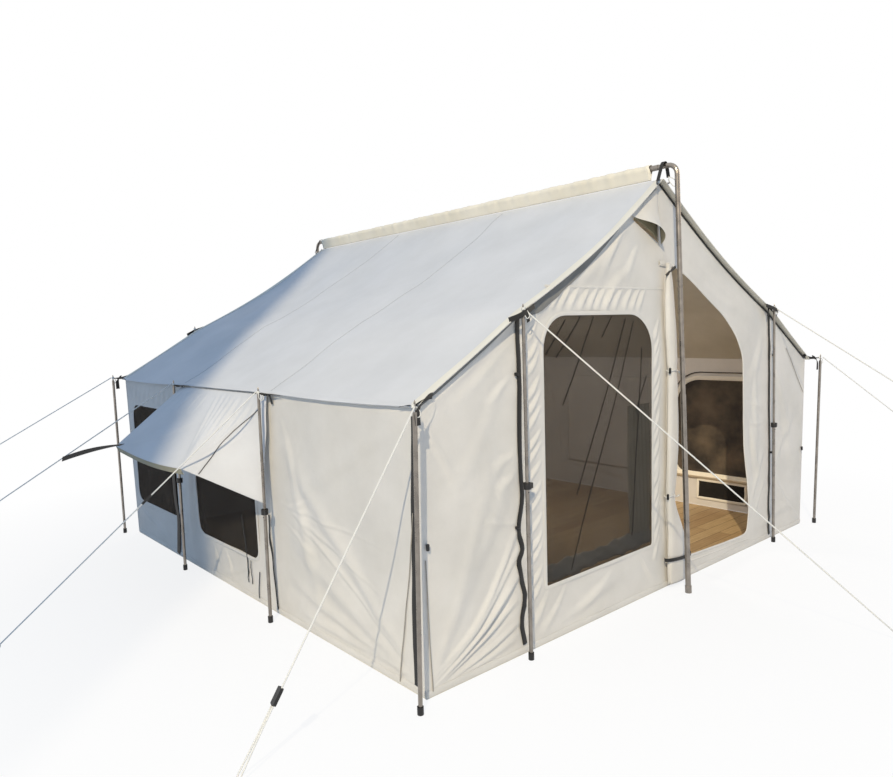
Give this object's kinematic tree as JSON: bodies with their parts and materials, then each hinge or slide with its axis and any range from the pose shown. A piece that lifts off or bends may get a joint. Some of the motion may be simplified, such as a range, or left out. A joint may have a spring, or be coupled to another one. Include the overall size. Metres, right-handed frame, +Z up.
{
  "type": "glamping tent",
  "caption": "Square ridge wall tent with an outside pole frame, sliding eave poles, mesh windows, rolled-up door, window awning, peak vent and guy ropes.",
  "frame": {"origin": "centre of the floor's underside, on the ground", "axes": "+X to the right along the front wall, front gable and door face -Y, +Z up"},
  "size_m": [5.379, 5.4987, 2.4475],
  "materials": {
    "steel": "galvanised steel tube, dull",
    "plastic": "black moulded plastic",
    "roof_canvas": "proofed cotton canvas, pale grey-white",
    "wall_canvas": "cotton canvas, warm off-white",
    "sleeve_canvas": "cream canvas",
    "net": "dark insect mesh",
    "planks": "light tan planks, satin",
    "rope": "white braided cord"
  },
  "bodies": {
    "tent": {"corner_pole_front_left": "steel", "corner_pole_front_right": "steel", "corner_pole_rear_left": "steel", "corner_pole_rear_right": "steel", "left_side_front_lower": "steel", "left_side_rear_lower": "steel", "right_side_front_lower": "steel", "right_side_rear_lower": "steel", "gable_front_left_lower": "steel", "gable_front_right_lower": "steel", "gable_rear_left_lower": "steel", "gable_rear_right_lower": "steel", "front_centre_lower": "steel", "front_centre_upper": "steel", "rear_centre_lower": "steel", "rear_centre_upper": "steel", "ridge_pole": "steel", "floor": "planks", "roof_left": "roof_canvas", "roof_right": "roof_canvas", "ridge_sleeve": "sleeve_canvas", "front_wall_left": "wall_canvas", "front_wall_right": "wall_canvas", "rear_wall": "wall_canvas", "left_wall": "wall_canvas", "right_wall": "wall_canvas", "rolled_door": "wall_canvas", "awning": "roof_canvas", "front_window_mesh": "net", "rear_window_mesh": "net", "left_middle_mesh": "net", "left_rear_mesh": "net", "right_front_mesh": "net", "right_middle_mesh": "net", "rope_left_rear_corner": "rope", "rope_left_side_rear": "rope", "rope_left_side_front": "rope", "rope_left_front_corner": "rope", "rope_front_left": "rope", "rope_front_right": "rope", "rope_right_front_corner": "rope"},
    "left_side_front_upper": {"left_side_front_upper": "steel"},
    "left_side_front_button": {"left_side_front_button": "plastic"},
    "left_side_rear_upper": {"left_side_rear_upper": "steel"},
    "left_side_rear_button": {"left_side_rear_button": "plastic"},
    "right_side_front_upper": {"right_side_front_upper": "steel"},
    "right_side_front_button": {"right_side_front_button": "plastic"},
    "right_side_rear_upper": {"right_side_rear_upper": "steel"},
    "right_side_rear_button": {"right_side_rear_button": "plastic"},
    "gable_front_left_upper": {"gable_front_left_upper": "steel"},
    "gable_front_left_button": {"gable_front_left_button": "plastic"},
    "gable_front_right_upper": {"gable_front_right_upper": "steel"},
    "gable_front_right_button": {"gable_front_right_button": "plastic"},
    "gable_rear_left_upper": {"gable_rear_left_upper": "steel"},
    "gable_rear_left_button": {"gable_rear_left_button": "plastic"},
    "gable_rear_right_upper": {"gable_rear_right_upper": "steel"},
    "gable_rear_right_button": {"gable_rear_right_button": "plastic"},
    "peak_vent_flap": {"peak_vent_flap": "wall_canvas"},
    "rope_link_front": {"rope_link_front": "plastic"},
    "rope_link_side": {"rope_link_side": "plastic"}
  },
  "joints": [
    {"name": "left_side_front_slide", "type": "slide", "parent": "tent", "child": "left_side_front_upper", "axis": [0, 0, 1], "range_m": [-0.42, 0]},
    {"name": "left_side_front_press", "type": "slide", "parent": "tent", "child": "left_side_front_button", "axis": [1, 0, 0], "range_m": [0, 0.003], "stiffness_N_per_m": 1500},
    {"name": "left_side_rear_slide", "type": "slide", "parent": "tent", "child": "left_side_rear_upper", "axis": [0, 0, 1], "range_m": [-0.42, 0]},
    {"name": "left_side_rear_press", "type": "slide", "parent": "tent", "child": "left_side_rear_button", "axis": [1, 0, 0], "range_m": [0, 0.003], "stiffness_N_per_m": 1500},
    {"name": "right_side_front_slide", "type": "slide", "parent": "tent", "child": "right_side_front_upper", "axis": [0, 0, 1], "range_m": [-0.42, 0]},
    {"name": "right_side_front_press", "type": "slide", "parent": "tent", "child": "right_side_front_button", "axis": [-1, 0, 0], "range_m": [0, 0.003], "stiffness_N_per_m": 1500},
    {"name": "right_side_rear_slide", "type": "slide", "parent": "tent", "child": "right_side_rear_upper", "axis": [0, 0, 1], "range_m": [-0.42, 0]},
    {"name": "right_side_rear_press", "type": "slide", "parent": "tent", "child": "right_side_rear_button", "axis": [-1, 0, 0], "range_m": [0, 0.003], "stiffness_N_per_m": 1500},
    {"name": "gable_front_left_slide", "type": "slide", "parent": "tent", "child": "gable_front_left_upper", "axis": [0, 0, 1], "range_m": [-0.45, 0]},
    {"name": "gable_front_left_press", "type": "slide", "parent": "tent", "child": "gable_front_left_button", "axis": [0, 1, 0], "range_m": [0, 0.003], "stiffness_N_per_m": 1500},
    {"name": "gable_front_right_slide", "type": "slide", "parent": "tent", "child": "gable_front_right_upper", "axis": [0, 0, 1], "range_m": [-0.45, 0]},
    {"name": "gable_front_right_press", "type": "slide", "parent": "tent", "child": "gable_front_right_button", "axis": [0, 1, 0], "range_m": [0, 0.003], "stiffness_N_per_m": 1500},
    {"name": "gable_rear_left_slide", "type": "slide", "parent": "tent", "child": "gable_rear_left_upper", "axis": [0, 0, 1], "range_m": [-0.45, 0]},
    {"name": "gable_rear_left_press", "type": "slide", "parent": "tent", "child": "gable_rear_left_button", "axis": [0, -1, 0], "range_m": [0, 0.003], "stiffness_N_per_m": 1500},
    {"name": "gable_rear_right_slide", "type": "slide", "parent": "tent", "child": "gable_rear_right_upper", "axis": [0, 0, 1], "range_m": [-0.45, 0]},
    {"name": "gable_rear_right_press", "type": "slide", "parent": "tent", "child": "gable_rear_right_button", "axis": [0, -1, 0], "range_m": [0, 0.003], "stiffness_N_per_m": 1500},
    {"name": "peak_vent_lift", "type": "hinge", "parent": "tent", "child": "peak_vent_flap", "pos_m": [-0.295, -1.81237, 2.128], "axis": [-0.8402, -0.0405, -0.5408], "range_deg": [0, 30]},
    {"name": "rope_link_front_slide", "type": "slide", "parent": "tent", "child": "rope_link_front", "axis": [0.5002, -0.1014, 0.8599], "range_m": [0, 0.15]},
    {"name": "rope_link_side_slide", "type": "slide", "parent": "tent", "child": "rope_link_side", "axis": [0.6268, -0.3837, 0.6782], "range_m": [-0.1, 0.1]}
  ]
}
